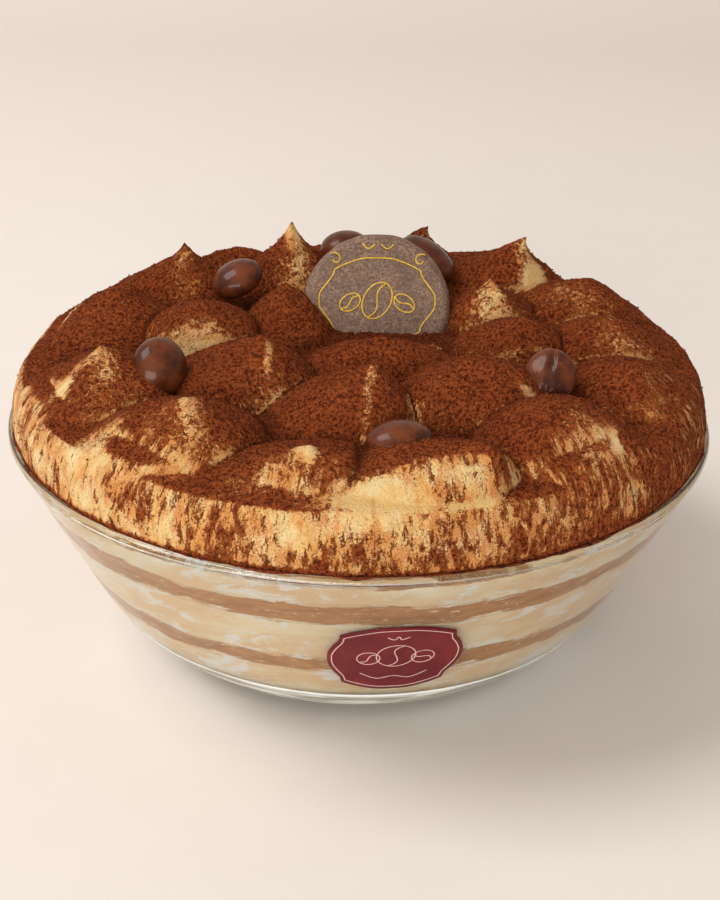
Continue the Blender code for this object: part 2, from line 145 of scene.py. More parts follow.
# How finely the pieces are meshed.
BOWL_SEGMENTS = 192
TURN_STEPS = 24
WALL_STEPS = 10
FOOT_SEGMENTS = 384
FOOT_STEPS = 14
LAYER_SEGMENTS = 480
GRAIN_COUNT = 16000
HEAP_GRID = 280               # cells across the plateau
HEAP_SIDE_RINGS = 36
LIP_RINGS = 6

CREASE_WIDTH = 0.7            # where two dollops meet
CREASE_DEPTH = 0.9
LIP_AIR = 0.3                 # air between the cream and the inner side of the lip
SLAB_DROP = 1.6               # how far below the lip's middle the cream starts to touch the glass

BEAN_FLATNESS = 0.62
# Each bean: name; length, width, thickness; middle x, y, z; azimuth and rise of its length,
# and roll about it, in degrees. At no roll its round side is up, at 180 its crease.
BEANS = (
    ("bean_left", (15.0, 13.4, 10.0), -48.0, -27.5, 82.6, 98, 56, 14),
    ("bean_right", (14.4, 12.6, 9.4), 45.3, -30.0, 83.0, 82, 56, 176),
    ("bean_front", (15.2, 11.4, 8.6), 9.2, -60.0, 80.3, 3, 4, 6),
    ("bean_back_left", (14.6, 12.2, 9.4), -34.0, 33.0, 82.8, 14, 24, 20),
    ("bean_back_middle", (14.0, 12.2, 9.4), -5.0, 57.0, 84.3, 4, 6, 0),
    ("bean_back_right", (18.5, 12.2, 9.0), 18.5, 46.0, 85.3, -40, -24, -20),
)

DISC_RADIUS = 19.6
DISC_THICKNESS = 5.4
DISC_EDGE = 2.2
DISC_CENTRE = (4.2, 20.0, 80.6)
DISC_ORNAMENT_RISE = 1.4      # the ornament sits above the disc's middle, clear of the cream
DISC_RECLINE = 60.0

LABEL_WIDTH = 31.0
LABEL_HEIGHT = 27.0
LABEL_THICKNESS = 0.3
LABEL_LIFT = 0.05
LABEL_MIDDLE_Z = 33.3
LABEL_TURN = 7.0

# Camera: where it looks, how far back, how high, and its lens on a 36 mm wide sensor.
CAMERA_TARGET = (0.4, 0.0, 47.9)
CAMERA_DISTANCE = 424.0
CAMERA_ELEVATION = 26.5
CAMERA_ROLL = 1.1
CAMERA_LENS = 80.0


# ---------------------------------------------------------------- noise in numpy

def hashed(ix, iy, iz, seed):
    """A repeatable number from 0 to 1 for each lattice point."""
    h = (ix * 374761393 + iy * 668265263 + iz * 1440662683 + seed * 974711) & 0xFFFFFFFF
    h = ((h ^ (h >> 13)) * 1274126177) & 0xFFFFFFFF
    return ((h ^ (h >> 16)) & 0xFFFFFF) / 16777215.0


def value_noise(points, size, seed):
    """Smooth noise from 0 to 1 whose bumps are about `size` across."""
    scaled = points / size
    base = np.floor(scaled).astype(np.int64)
    part = scaled - base
    part = part * part * (3.0 - 2.0 * part)
    total = np.zeros(len(points))
    for dx in (0, 1):
        wx = part[:, 0] if dx else 1.0 - part[:, 0]
        for dy in (0, 1):
            wy = part[:, 1] if dy else 1.0 - part[:, 1]
            for dz in (0, 1):
                wz = part[:, 2] if dz else 1.0 - part[:, 2]
                total += wx * wy * wz * hashed(base[:, 0] + dx, base[:, 1] + dy, base[:, 2] + dz, seed)
    return total


def fractal_noise(points, size, octaves, seed):
    """Noise from about -1 to 1 with finer octaves added at half strength."""
    total = np.zeros(len(points))
    weight = 1.0
    for octave in range(octaves):
        total += weight * (2.0 * value_noise(points, size / 2 ** octave, seed + octave) - 1.0)
        weight *= 0.5
    return total


def smoothstep(low, high, value):
    t = np.clip((value - low) / (high - low), 0.0, 1.0)
    return t * t * (3.0 - 2.0 * t)


# ---------------------------------------------------------------- mesh helpers

def add_mesh(name, points, faces, material, smooth=True):
    """Make an object from points in millimetres."""
    mesh = bpy.data.meshes.new(name)
    mesh.from_pydata((np.asarray(points, dtype=float) * MM).tolist(), [], faces)
    mesh.validate()
    if smooth:
        mesh.shade_smooth()
    mesh.materials.append(material)
    thing = bpy.data.objects.new(name, mesh)
    bpy.context.scene.collection.objects.link(thing)
    return thing


def face_outwards(thing):
    work = bmesh.new()
    work.from_mesh(thing.data)
    bmesh.ops.recalc_face_normals(work, faces=work.faces)
    work.to_mesh(thing.data)
    work.free()


def set_attribute(thing, name, values, kind="FLOAT"):
    attribute = thing.data.attributes.new(name, kind, "POINT")
    field = "vector" if kind == "FLOAT_VECTOR" else "value"
    attribute.data.foreach_set(field, np.asarray(values, dtype=np.float32).ravel())


def ring_quads(first, second, count):
    return [(first + i, first + (i + 1) % count, second + (i + 1) % count, second + i)
            for i in range(count)]


def turn_profile(profile, segments):
    """Points and faces of a solid turned from (radius, z) pairs; a zero radius is one pole."""
    points = []
    starts = []
    for radius, z in profile:
        starts.append(len(points))
        if radius == 0.0:
            points.append((0.0, 0.0, z))
            continue
        for i in range(segments):
            angle = 2.0 * math.pi * i / segments
            points.append((radius * math.cos(angle), radius * math.sin(angle), z))
    faces = []
    for index in range(len(profile) - 1):
        lower, upper = starts[index], starts[index + 1]
        if profile[index][0] == 0.0:
            faces += [(lower, upper + i, upper + (i + 1) % segments) for i in range(segments)]
        elif profile[index + 1][0] == 0.0:
            faces += [(lower + i, lower + (i + 1) % segments, upper) for i in range(segments)]
        else:
            faces += ring_quads(lower, upper, segments)
    return points, faces


def bridge(first, second):
    """Quads between two loops of point numbers that run the same way round."""
    ahead = second[1:] + second[:1]
    beside = first[1:] + first[:1]
    return [[p, c, d, q] for p, c, d, q in zip(first, second, ahead, beside)]


def wrap_round(points):
    """The arc round the axis and the height of each point, in metres, for patterns to follow."""
    return [(math.atan2(y, x) * math.hypot(x, y) * MM, z * MM, 0.0) for x, y, z in points]


def stand_for(piece, node):
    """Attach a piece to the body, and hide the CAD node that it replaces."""
    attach(piece, ROOT)
    if node:
        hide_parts(node)


# ---------------------------------------------------------------- material helpers

class Shader:
    """A material's node tree, with short calls that add nodes and link them."""

    def __init__(self, name):
        self.material = bpy.data.materials.new(name)
        self.material.use_nodes = True
        self.tree = self.material.node_tree
        self.principled = self.tree.nodes["Principled BSDF"]

    def node(self, kind, **settings):
        made = self.tree.nodes.new(kind)
        for key, value in settings.items():
            setattr(made, key, value)
        return made

    def link(self, source, target):
        self.tree.links.new(source, target)

    def plug(self, socket, value):
        """Link a socket, or set a plain value."""
        if isinstance(value, bpy.types.NodeSocket):
            self.link(value, socket)
        elif isinstance(value, tuple) and len(value) == 3 and socket.type == "RGBA":
            socket.default_value = (*value, 1.0)
        else:
            socket.default_value = value

    def set(self, **values):
        for key, value in values.items():
            self.plug(self.principled.inputs[key.replace("_", " ")], value)

    def place(self):
        return self.node("ShaderNodeTexCoord").outputs["Object"]

    def attribute(self, name, vector=False):
        made = self.node("ShaderNodeAttribute", attribute_name=name)
        return made.outputs["Vector" if vector else "Fac"]

    def noise(self, where, size_mm, detail=3.0, roughness=0.55, distortion=0.0):
        """Noise whose bumps are about size_mm across, for places in metres."""
        made = self.node("ShaderNodeTexNoise")
        self.plug(made.inputs["Vector"], where)
        made.inputs["Scale"].default_value = 1.0 / (size_mm * MM)
        made.inputs["Detail"].default_value = detail
        made.inputs["Roughness"].default_value = roughness
        made.inputs["Distortion"].default_value = distortion
        return made.outputs["Fac"]

    def cells(self, where, size_mm):
        """Distance to the nearest of many points that are about size_mm apart."""
        made = self.node("ShaderNodeTexVoronoi")
        self.plug(made.inputs["Vector"], where)
        made.inputs["Scale"].default_value = 1.0 / (size_mm * MM)
        return made.outputs["Distance"]

    def math(self, operation, a, b=0.0):
        made = self.node("ShaderNodeMath", operation=operation)
        self.plug(made.inputs[0], a)
        self.plug(made.inputs[1], b)
        return made.outputs[0]

    def add(self, a, b):
        return self.math("ADD", a, b)

    def swing(self, value, gain):
        """How far a 0 to 1 value is from the middle, times gain."""
        return self.math("MULTIPLY", self.math("SUBTRACT", value, 0.5), gain)

    def ramp(self, value, low, high, to_low=0.0, to_high=1.0):
        """Smooth step from to_low to to_high as the value goes from low to high."""
        made = self.node("ShaderNodeMapRange", interpolation_type="SMOOTHSTEP")
        self.plug(made.inputs["Value"], value)
        for key, number in (("From Min", low), ("From Max", high), ("To Min", to_low), ("To Max", to_high)):
            self.plug(made.inputs[key], number)
        return made.outputs["Result"]

    def mix(self, factor, a, b):
        made = self.node("ShaderNodeMix", data_type="RGBA")
        self.plug(made.inputs["Factor"], factor)
        self.plug(made.inputs["A"], a)
        self.plug(made.inputs["B"], b)
        return made.outputs["Result"]

    def stretch(self, where, scale):
        made = self.node("ShaderNodeVectorMath", operation="MULTIPLY")
        self.plug(made.inputs[0], where)
        made.inputs[1].default_value = scale
        return made.outputs["Vector"]

    def bump(self, height, depth_mm):
        made = self.node("ShaderNodeBump")
        made.inputs["Strength"].default_value = 1.0
        made.inputs["Distance"].default_value = depth_mm * MM
        self.link(height, made.inputs["Height"])
        self.link(made.outputs["Normal"], self.principled.inputs["Normal"])


def srgb(red, green, blue):
    """Linear colour from the 0 to 255 values a screen shows."""
    values = []
    for part in (red, green, blue):
        c = part / 255.0
        values.append(c / 12.92 if c <= 0.04045 else ((c + 0.055) / 1.055) ** 2.4)
    return tuple(values)


CREAM = srgb(253, 205, 128)
CREAM_PALE = srgb(255, 226, 164)
CREAM_STAINED = srgb(228, 138, 62)
COCOA_THIN = srgb(220, 126, 64)
COCOA = srgb(210, 105, 53)
COCOA_DARK = srgb(108, 43, 20)
# The darkest cocoa: a deep tone for loose grains, and the colour of the painted shade in the heap's creases.
COCOA_DEEP_AND_CREASE_SHADE = srgb(58, 22, 12)


def cream_heap_material():
    """Cream under sifted cocoa: mesh attributes say how much lies where, and where the side is."""
    s = Shader("cocoa_cream")
    place = s.place()
    cover = s.attribute("cocoa")
    side = s.attribute("side")
    wrap = s.attribute("wrap", vector=True)
    streaks = s.noise(s.stretch(wrap, (1.0, 0.34, 1.0)), 1.7, detail=5.0, roughness=0.72, distortion=0.3)
    specks = s.noise(place, 1.3, detail=5.0, roughness=0.75, distortion=0.5)
    film_noise = s.noise(s.stretch(wrap, (1.0, 0.45, 1.0)), 2.6, detail=5.0, roughness=0.68)
    clouds = s.noise(place, 6.0, detail=3.0)
    grain = s.noise(place, 0.42, detail=3.0, roughness=0.7)
    lumps = s.noise(place, 0.85, detail=4.0, roughness=0.72, distortion=0.2)
    pattern = s.mix(side, specks, streaks)
    film = s.add(cover, s.swing(film_noise, 2.0))
    film = s.ramp(s.add(film, s.math("SUBTRACT", grain, 0.5)), 0.08, 0.66)
    amount = s.add(cover, s.swing(pattern, 2.7))
    amount = s.add(amount, s.swing(grain, 0.8))
    dots = s.add(s.cells(place, 0.9), s.math("MULTIPLY", s.math("SUBTRACT", cover, 0.45), -0.35))
    dots = s.ramp(s.add(dots, s.swing(grain, 0.7)), 0.20, 0.12)
    mask = s.math("MAXIMUM", s.ramp(amount, 0.50, 0.62), s.math("MULTIPLY", dots, 0.85))
    powder = s.mix(s.ramp(lumps, 0.40, 0.58), COCOA_DARK, COCOA)
    powder = s.mix(s.ramp(grain, 0.56, 0.72, 0.0, 0.6), powder, COCOA_THIN)
    powder = s.mix(s.ramp(clouds, 0.3, 0.75, 0.0, 0.3), powder, COCOA_DARK)
    # Painted shade: the cocoa turns darkest in the creases and low ground between dollops.
    powder = s.mix(s.attribute("painted_crease_shade"), powder, COCOA_DEEP_AND_CREASE_SHADE)
    powder = s.mix(s.ramp(amount, 0.55, 0.85, 0.5, 0.0), powder, COCOA_THIN)
    cream = s.mix(s.ramp(clouds, 0.35, 0.7), CREAM, CREAM_PALE)
    cream = s.mix(s.math("MULTIPLY", film, 0.85), cream, CREAM_STAINED)
    s.set(Base_Color=s.mix(mask, cream, powder), Roughness=s.ramp(mask, 0.0, 1.0, 0.5, 0.95))
    s.set(Specular_IOR_Level=s.ramp(mask, 0.0, 1.0, 0.3, 0.06))
    relief = s.swing(lumps, 1.2)
    relief = s.add(relief, s.swing(grain, 0.6))
    relief = s.math("MULTIPLY", relief, s.ramp(mask, 0.0, 1.0, 0.3, 1.0))
    s.bump(s.add(relief, s.math("MULTIPLY", mask, 0.08)), 3.0)
    return s.material


def glass_material():
    s = Shader("clear_glass")
    s.set(Base_Color=(0.985, 0.992, 0.988), IOR=1.47, Transmission_Weight=1.0)
    smear = s.noise(s.place(), 14.0, detail=2.0)
    s.set(Roughness=s.ramp(smear, 0.45, 0.7, 0.0, 0.03))
    s.bump(smear, 0.5)
    return s.material


CREAM_LAYER = srgb(255, 240, 202)
# Pale cream; also the colour of the painted highlight lines along the band edges.
CREAM_LAYER_PALE_AND_HIGHLIGHT = srgb(255, 252, 242)
CREAM_LAYER_STAINED = srgb(246, 214, 164)
SPONGE_LAYER = srgb(206, 150, 88)
SPONGE_LAYER_DARK = srgb(178, 118, 60)


def layer_material():
    """Cream and coffee-soaked sponge seen through the glass, ragged and smeared where they meet."""
    s = Shader("layered_food")
    place = s.place()
    wrap = s.attribute("wrap", vector=True)
    band = s.attribute("sponge")
    smear = s.noise(s.stretch(wrap, (0.22, 1.0, 1.0)), 2.6, detail=6.0, roughness=0.7, distortion=0.6)
    patches = s.noise(s.stretch(wrap, (0.45, 1.0, 1.0)), 10.0, detail=4.0, roughness=0.6)
    frost = s.noise(s.stretch(wrap, (0.5, 1.0, 1.0)), 6.5, detail=6.0, roughness=0.75, distortion=0.5)
    fine = s.noise(place, 0.7, detail=3.0)
    flecks = s.noise(s.stretch(wrap, (0.4, 1.0, 1.0)), 1.1, detail=3.0, roughness=0.7)
    amount = s.add(band, s.swing(smear, 2.0))
    amount = s.add(amount, s.swing(patches, 0.8))
    mask = s.ramp(amount, 0.42, 0.66)
    mask = s.math("MULTIPLY", mask, s.ramp(flecks, 0.58, 0.70, 1.0, 0.25))
    cream = s.mix(s.ramp(patches, 0.40, 0.62), CREAM_LAYER_STAINED, CREAM_LAYER)
    cream = s.mix(s.ramp(frost, 0.50, 0.62), cream, CREAM_LAYER_PALE_AND_HIGHLIGHT)
    sponge = s.mix(s.ramp(smear, 0.35, 0.65), SPONGE_LAYER_DARK, SPONGE_LAYER)
    # Painted highlight: thin pale lines where the cream meets the sponge, standing in for glints of light.
    painted_highlight_line = s.ramp(s.math("ABSOLUTE", s.math("SUBTRACT", amount, 0.40)), 0.05, 0.02)
    painted_highlight_line = s.math("MULTIPLY", painted_highlight_line, s.ramp(frost, 0.46, 0.56))
    color = s.mix(painted_highlight_line, s.mix(mask, cream, sponge), CREAM_LAYER_PALE_AND_HIGHLIGHT)
    s.set(Base_Color=color, Roughness=0.6)
    s.bump(s.add(fine, smear), 0.25)
    return s.material


def bean_material():
    s = Shader("bean_chocolate")
    place = s.place()
    clouds = s.noise(place, 5.0, detail=4.0)
    dust = s.noise(place, 0.55, detail=4.0, roughness=0.7)
    color = s.mix(s.ramp(clouds, 0.35, 0.7), srgb(70, 30, 13), srgb(112, 56, 28))
    color = s.mix(s.ramp(dust, 0.6, 0.72, 0.0, 0.7), color, srgb(146, 84, 52))
    s.set(Base_Color=color, Roughness=s.ramp(dust, 0.45, 0.7, 0.30, 0.6), Coat_Weight=0.25)
    s.set(Coat_Roughness=0.08, Specular_IOR_Level=0.12)
    s.bump(dust, 0.08)
    return s.material


def disc_material():
    s = Shader("disc_chocolate")
    place = s.place()
    bloom = s.noise(place, 0.6, detail=5.0, roughness=0.75)
    clouds = s.noise(place, 5.0, detail=3.0)
    # Small pale specks scattered over the chocolate.
    pale_specks = s.cells(place, 0.55)
    color = s.mix(s.ramp(bloom, 0.4, 0.66), srgb(94, 64, 46), srgb(160, 128, 102))
    color = s.mix(s.ramp(clouds, 0.4, 0.7, 0.0, 0.5), color, srgb(98, 66, 50))
    color = s.mix(s.ramp(pale_specks, 0.16, 0.1, 0.0, 0.6), color, srgb(206, 190, 174))
    s.set(Base_Color=color, Roughness=s.ramp(bloom, 0.3, 0.7, 0.38, 0.6))
    s.bump(s.math("SUBTRACT", bloom, s.math("MULTIPLY", pale_specks, 0.4)), 0.2)
    return s.material


def icing_material():
    s = Shader("gold_icing")
    wear = s.noise(s.place(), 0.8, detail=3.0)
    s.set(Base_Color=s.mix(s.ramp(wear, 0.35, 0.7), srgb(206, 158, 30), srgb(240, 200, 60)), Roughness=0.45)
    s.bump(wear, 0.05)
    return s.material


def label_material():
    s = Shader("label_red")
    place = s.place()
    fibre = s.noise(place, 0.5, detail=3.0)
    clouds = s.noise(place, 7.0, detail=2.0)
    color = s.mix(s.ramp(clouds, 0.35, 0.7), srgb(98, 18, 24), srgb(116, 28, 32))
    s.set(Base_Color=color, Roughness=s.ramp(fibre, 0.3, 0.7, 0.36, 0.48), Specular_IOR_Level=0.2)
    s.bump(fibre, 0.02)
    return s.material


def print_material():
    s = Shader("label_print")
    wear = s.noise(s.place(), 0.7, detail=3.0)
    s.set(Base_Color=s.mix(s.ramp(wear, 0.3, 0.6), srgb(206, 160, 150), srgb(232, 196, 184)), Roughness=0.4)
    return s.material


def powder_material():
    s = Shader("cocoa_grains")
    tone = s.noise(s.place(), 1.2, detail=2.0)
    s.set(Base_Color=s.mix(s.ramp(tone, 0.3, 0.7), COCOA_DEEP_AND_CREASE_SHADE, srgb(142, 66, 34)), Roughness=0.95)
    s.set(Specular_IOR_Level=0.2)
    s.bump(s.noise(s.place(), 0.15), 0.1)
    return s.material


# ---------------------------------------------------------------- bowl section

def wall_slope():
    """Angle of the straight wall from level, where it leaves the round turn without a kink."""
    across = RIM_RADIUS - FOOT_RADIUS
    up = LIP_Z - TURN_RADIUS
    return math.atan2(up, across) + math.asin(TURN_RADIUS / math.hypot(across, up))


def glass_radius(z, inset=0.0):
    """Radius of the glass's outer face at a height, or of a face that lies inset within it."""
    slope = wall_slope()
    radius = TURN_RADIUS - inset
    turn_end_z = TURN_RADIUS - radius * math.cos(slope)
    if z <= turn_end_z:
        drop = TURN_RADIUS - z
        return FOOT_RADIUS + math.sqrt(max(0.0, radius * radius - drop * drop))
    turn_end = FOOT_RADIUS + radius * math.sin(slope)
    return turn_end + (z - turn_end_z) / math.tan(slope)


def turn_ring(radius, turns):
    """(radius, z) pairs on a circle about the middle of the glass's turn."""
    return [(FOOT_RADIUS + radius * math.sin(a), TURN_RADIUS - radius * math.cos(a)) for a in turns]


def turn_points(inset, lowest, steps):
    """(radius, z) pairs round the turn of the glass, from a lowest level to the straight wall."""
    radius = TURN_RADIUS - inset
    start = math.acos((TURN_RADIUS - lowest) / radius)
    angles = [start + (wall_slope() - start) * i / steps for i in range(steps + 1)]
    return turn_ring(radius, angles)


def straight_points(start, end, steps):
    return [(start[0] + (end[0] - start[0]) * i / steps, start[1] + (end[1] - start[1]) * i / steps)
            for i in range(1, steps)]


def make_bowl(material):
    """The glass, turned finely from a closed section."""
    outer = turn_points(0.0, 0.0, TURN_STEPS)
    inner = turn_points(WALL, FLOOR, TURN_STEPS)
    half = 0.5 * WALL / math.sin(wall_slope())
    lip = [(RIM_RADIUS - half + half * math.cos(math.radians(a)),
            LIP_Z + 0.5 * WALL * math.sin(math.radians(a))) for a in range(0, 181, 15)]
    profile = [(0.0, 0.0), (FOOT_RADIUS * 0.5, 0.0)] + outer
    profile += straight_points(outer[-1], lip[0], WALL_STEPS) + lip
    profile += straight_points(lip[-1], inner[-1], WALL_STEPS) + inner[::-1]
    profile += [(FOOT_RADIUS * 0.5, FLOOR), (0.0, FLOOR)]
    bowl = add_mesh("glass_bowl", *turn_profile(profile, BOWL_SEGMENTS), material)
    face_outwards(bowl)
    stand_for(bowl, "bowl")


def foot_material():
    """Painted light on the foot: pale colour in streaks along it, lighter near its upper and lower edges, for
    the light that its thick glass gathers.
    """
    s = Shader("foot_glass_painted_light")
    wrap = s.attribute("wrap", vector=True)
    height = s.attribute("height")
    streaks = s.noise(s.stretch(wrap, (0.05, 1.0, 1.0)), 1.5, detail=4.0, roughness=0.6)
    blocks = s.noise(s.stretch(wrap, (0.5, 1.0, 1.0)), 14.0, detail=3.0)
    # Painted highlights: lighter bands near the top and bottom of the foot.
    painted_edge_highlights = s.add(s.ramp(height, 0.80, 0.97), s.ramp(height, 0.30, 0.12))
    light = s.add(s.math("MULTIPLY", painted_edge_highlights, 0.35), s.ramp(streaks, 0.35, 0.65, 0.0, 0.7))
    light = s.add(light, s.ramp(blocks, 0.4, 0.62, -0.1, 0.35))
    color = s.mix(s.ramp(light, 0.2, 1.0), srgb(150, 142, 124), srgb(240, 244, 240))
    s.set(Base_Color=color, Roughness=0.12, IOR=1.47)
    s.bump(streaks, 0.3)
    return s.material


def make_foot(material):
    """A thin opaque shell on the outside of the turn, painted with the pale light that the foot's thick glass
    shows.
    """
    first, last = FOOT_BAND
    turns = [math.radians(first + (last - first) * i / FOOT_STEPS) for i in range(FOOT_STEPS + 1)]
    outer = turn_ring(TURN_RADIUS + FOOT_PROUD, turns)
    inner = turn_ring(TURN_RADIUS - FOOT_BITE, turns)
    points, faces = turn_profile(outer + inner[::-1] + outer[:1], FOOT_SEGMENTS)
    foot = add_mesh("glass_foot_painted_light", points, faces, material)
    face_outwards(foot)
    set_attribute(foot, "wrap", wrap_round(points), "FLOAT_VECTOR")
    low, high = outer[0][1], outer[-1][1]
    set_attribute(foot, "height", [(z - low) / (high - low) for _, _, z in points])
    stand_for(foot, None)


# ---------------------------------------------------------------- layers behind the glass

def interface_height(level, angles, swing, seed):
    """A level that wanders round the bowl, in slow waves and smaller ripples."""
    ring = np.stack([np.cos(angles), np.sin(angles), np.full_like(angles, seed)], axis=1)
    return level + swing * fractal_noise(ring * 40.0, 22.0, 6, seed)


def make_layer(name, node, bottom, top, sponge, material, rows):
    """A disc of food whose rim lies in the glass and whose faces follow wandering levels."""
    angles = 2.0 * math.pi * np.arange(LAYER_SEGMENTS) / LAYER_SEGMENTS
    points = []
    band = []
    for row in range(rows + 1):
        part = row / rows
        for angle, low, high in zip(angles, bottom, top):
            z = low + (high - low) * part
            radius = glass_radius(z, WALL - FOOD_BITE)
            points.append((radius * math.cos(angle), radius * math.sin(angle), z))
            edge = min(part, 1.0 - part) * (high - low)
            band.append(0.5 + (0.5 if sponge else -0.5) * min(1.0, edge / 2.0))
    points += [(0.0, 0.0, float(np.mean(bottom))), (0.0, 0.0, float(np.mean(top)))]
    band += [0.5, 0.5]
    count = LAYER_SEGMENTS
    faces = []
    for row in range(rows):
        faces += ring_quads(row * count, (row + 1) * count, count)
    low_pole, high_pole = len(points) - 2, len(points) - 1
    faces += [(low_pole, (i + 1) % count, i) for i in range(count)]
    faces += [(high_pole, rows * count + i, rows * count + (i + 1) % count) for i in range(count)]
    layer = add_mesh(name, points, faces, material)
    set_attribute(layer, "wrap", wrap_round(points), "FLOAT_VECTOR")
    set_attribute(layer, "sponge", band)
    stand_for(layer, node)


def make_layers(material):
    """The layers from the floor up; the last is the top cream's part inside the glass."""
    angles = 2.0 * math.pi * np.arange(LAYER_SEGMENTS) / LAYER_SEGMENTS
    floor = np.full(LAYER_SEGMENTS, FLOOR - FOOD_BITE)
    lower_start = interface_height(SPONGE_LOWER_Z[0], angles, 1.5, 11)
    lower_end = interface_height(SPONGE_LOWER_Z[1], angles, 1.7, 23)
    upper_start = interface_height(SPONGE_UPPER_Z[0], angles, 1.6, 37)
    upper_end = interface_height(SPONGE_UPPER_Z[1], angles, 1.8, 41)
    rim = interface_height(LIP_Z - SLAB_DROP, angles, 0.4, 53)
    make_layer("layer_cream_bottom", "cream_bottom", floor, lower_start, False, material, 24)
    make_layer("layer_sponge_lower", "sponge_lower", lower_start, lower_end, True, material, 12)
    make_layer("layer_cream_middle", "cream_middle", lower_end, upper_start, False, material, 14)
    make_layer("layer_sponge_upper", "sponge_upper", upper_start, upper_end, True, material, 12)
    make_layer("layer_cream_top", None, upper_end, rim, False, material, 10)


# ---------------------------------------------------------------- top cream

def smooth_max(a, b, blend):
    return 0.5 * (a + b + np.sqrt((a - b) ** 2 + blend * blend))


def dollop_height(dollop, x, y):
    """Height of one dollop above the plateau, and how much its leaning point adds."""
    cx, cy, along, across, turn, height, roundness, top_x, top_y, rise, _, _, end_x, end_y = dollop
    angle = math.radians(turn)
    cos, sin = math.cos(angle), math.sin(angle)
    off_u = ((top_x - cx) * cos + (top_y - cy) * sin) / along
    off_v = ((top_y - cy) * cos - (top_x - cx) * sin) / across
    u = ((x - top_x) * cos + (y - top_y) * sin) / along
    v = ((y - top_y) * cos - (x - top_x) * sin) / across
    dot = u * off_u + v * off_v
    spare = 1.0 - off_u * off_u - off_v * off_v
    reach = (dot + np.sqrt(dot * dot + spare * (u * u + v * v))) / spare
    body = height * (1.0 - np.clip(reach, 0.0, 3.0) ** roundness)
    tip = np.exp(-np.hypot(x - top_x, y - top_y) / TIP_SPREAD)
    run_x, run_y = end_x - top_x, end_y - top_y
    run = run_x * run_x + run_y * run_y
    part = np.clip(((x - top_x) * run_x + (y - top_y) * run_y) / run, 0.0, 1.0)
    off = np.hypot(x - top_x - part * run_x, y - top_y - part * run_y)
    ridge = RIDGE_HEIGHT * np.exp(-off / RIDGE_SPREAD) * (1.0 - part * part)
    return body + rise * tip + ridge, tip


def heap_surface(x, y):
    """Points of the top cream's upper surface above the plan positions x, y."""
    radius = np.hypot(x, y)
    level = PLATEAU_Z + PLATEAU_CROWN * (1.0 - (radius / PLATEAU_RADIUS) ** 2) + PLATEAU_TILT * y
    top = np.zeros_like(x)
    shift_x = np.zeros_like(x)
    shift_y = np.zeros_like(x)
    for dollop in DOLLOPS:
        height, tip = dollop_height(dollop, x, y)
        top = smooth_max(top, height, CREASE_BLEND)
        shift_x = shift_x + dollop[10] * tip * tip
        shift_y = shift_y + dollop[11] * tip * tip
    turned = np.clip((radius - SHOULDER_RADIUS) / (HEAP_RADIUS - SHOULDER_RADIUS), 0.0, 1.0)
    shoulder = SHOULDER_Z - BOWL_HEIGHT
    for rise_x, rise_y, spread, rise in SHOULDER_RISES:
        shoulder = shoulder + rise * np.exp(-((x - rise_x) ** 2 + (y - rise_y) ** 2) / spread ** 2)
    side = BOWL_HEIGHT + shoulder * np.sqrt(1.0 - turned ** SIDE_POWER)
    side = side + OUTER_DOLLOP_CLIMB * np.clip(PLATEAU_RADIUS - radius, 0.0, None)
    z = -smooth_max(-(level + top), -side, SHOULDER_BLEND)
    return x + shift_x, y + shift_y, np.maximum(z, BOWL_HEIGHT - 0.02)


def dollops_top(x, y):
    """Height of the highest dollop above the plateau, and how far it stands over the next."""
    heights = np.sort([dollop_height(dollop, x, y)[0] for dollop in DOLLOPS], axis=0)
    return heights[-1], heights[-1] - heights[-2]


def disc_grid(count, radius):
    """A square grid pressed into a circle so that its cells stay even, and its outer loop."""
    steps = np.linspace(-1.0, 1.0, count + 1)
    a, b = np.meshgrid(steps, steps, indexing="ij")
    wide = np.abs(a) > np.abs(b)
    safe_a = np.where(wide, a, 1.0)
    safe_b = np.where(wide | (b == 0.0), 1.0, b)
    reach = np.where(wide, a, b)
    angle = np.where(wide, 0.25 * math.pi * b / safe_a, 0.5 * math.pi - 0.25 * math.pi * a / safe_b)
    x = radius * reach * np.cos(angle)
    y = radius * reach * np.sin(angle)
    index = np.arange((count + 1) ** 2).reshape(count + 1, count + 1)
    loop = np.concatenate([index[-1, :-1], index[::-1, -1][:-1], index[0, ::-1][:-1], index[:-1, 0]])
    quads = np.stack([index[:-1, :-1], index[1:, :-1], index[1:, 1:], index[:-1, 1:]], axis=-1)
    return x.ravel(), y.ravel(), quads.reshape(-1, 4), loop


def heap_plan():
    """Plan positions of the heap's points: an even disc, then rings down the steep side."""
    x, y, quads, loop = disc_grid(HEAP_GRID, PLATEAU_RADIUS)
    angles = np.arctan2(y[loop], x[loop])
    faces = quads.tolist()
    previous = loop.tolist()
    for ring in range(1, HEAP_SIDE_RINGS + 1):
        reach = math.sin(0.5 * math.pi * ring / HEAP_SIDE_RINGS)
        radius = PLATEAU_RADIUS + (HEAP_RADIUS - PLATEAU_RADIUS) * reach
        start = len(x)
        x = np.concatenate([x, radius * np.cos(angles)])
        y = np.concatenate([y, radius * np.sin(angles)])
        current = list(range(start, start + len(loop)))
        faces += bridge(previous, current)
        previous = current
    return x, y, faces, previous, angles


def lip_point(turn, inset):
    """(radius, z) on the half-round lip, at a turn from its outer side, or inset within it."""
    half = 0.5 * WALL / math.sin(wall_slope())
    return (RIM_RADIUS - half + (half - inset) * math.cos(turn),
            LIP_Z + (0.5 * WALL - inset) * math.sin(turn))


